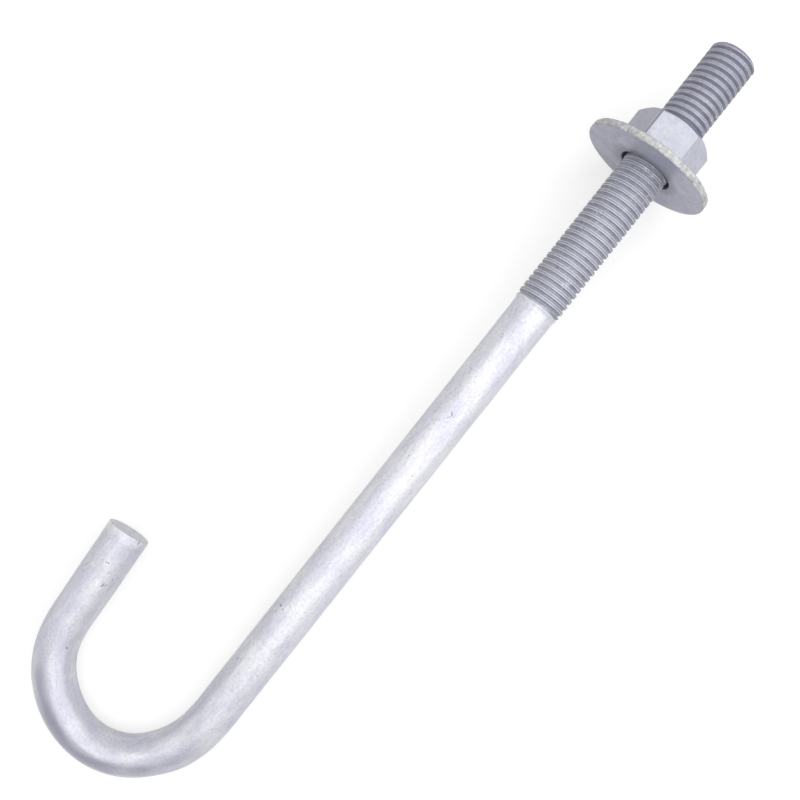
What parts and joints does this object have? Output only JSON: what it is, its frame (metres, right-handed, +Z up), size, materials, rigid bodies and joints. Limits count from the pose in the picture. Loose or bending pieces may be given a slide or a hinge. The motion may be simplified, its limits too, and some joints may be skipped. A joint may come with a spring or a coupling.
{
  "type": "j bolt",
  "caption": "J-shaped hook bolt of round bar with a threaded end that carries a flat washer and a hexagon nut.",
  "frame": {"origin": "middle of the bounding box's footprint, on the surface that the bolt lies on", "axes": "+X along the bolt from the hook towards the threaded end, which rises 3.3 degrees to the washer; +Y towards the hook's short leg; +Z up"},
  "size_m": [0.3082, 0.088, 0.0445],
  "materials": {
    "bolt_zinc": "hot-dip galvanised, bright with faint mottling",
    "washer_zinc": "hot-dip galvanised, dull grey",
    "nut_zinc": "hot-dip galvanised, satin grey"
  },
  "bodies": {
    "bolt": {"hook_bolt": "bolt_zinc"},
    "washer": {"flat_washer": "washer_zinc"},
    "nut": {"hex_nut": "nut_zinc"}
  },
  "joints": [
    {"name": "washer_travel", "type": "slide", "parent": "bolt", "child": "washer", "axis": [0.9983, 0, 0.0581], "range_m": [-0.0555, 0.0278]},
    {"name": "nut_turn", "type": "hinge", "parent": "washer", "child": "nut", "pos_m": [0.11786, -0.02174, 0.0227], "axis": [0.9983, 0, 0.0581], "range_deg": [-8640, 4320]}
  ],
  "couplings": [
    {"joint": "washer_travel", "follows": "nut_turn", "m_per_rad": 0.0003675}
  ]
}
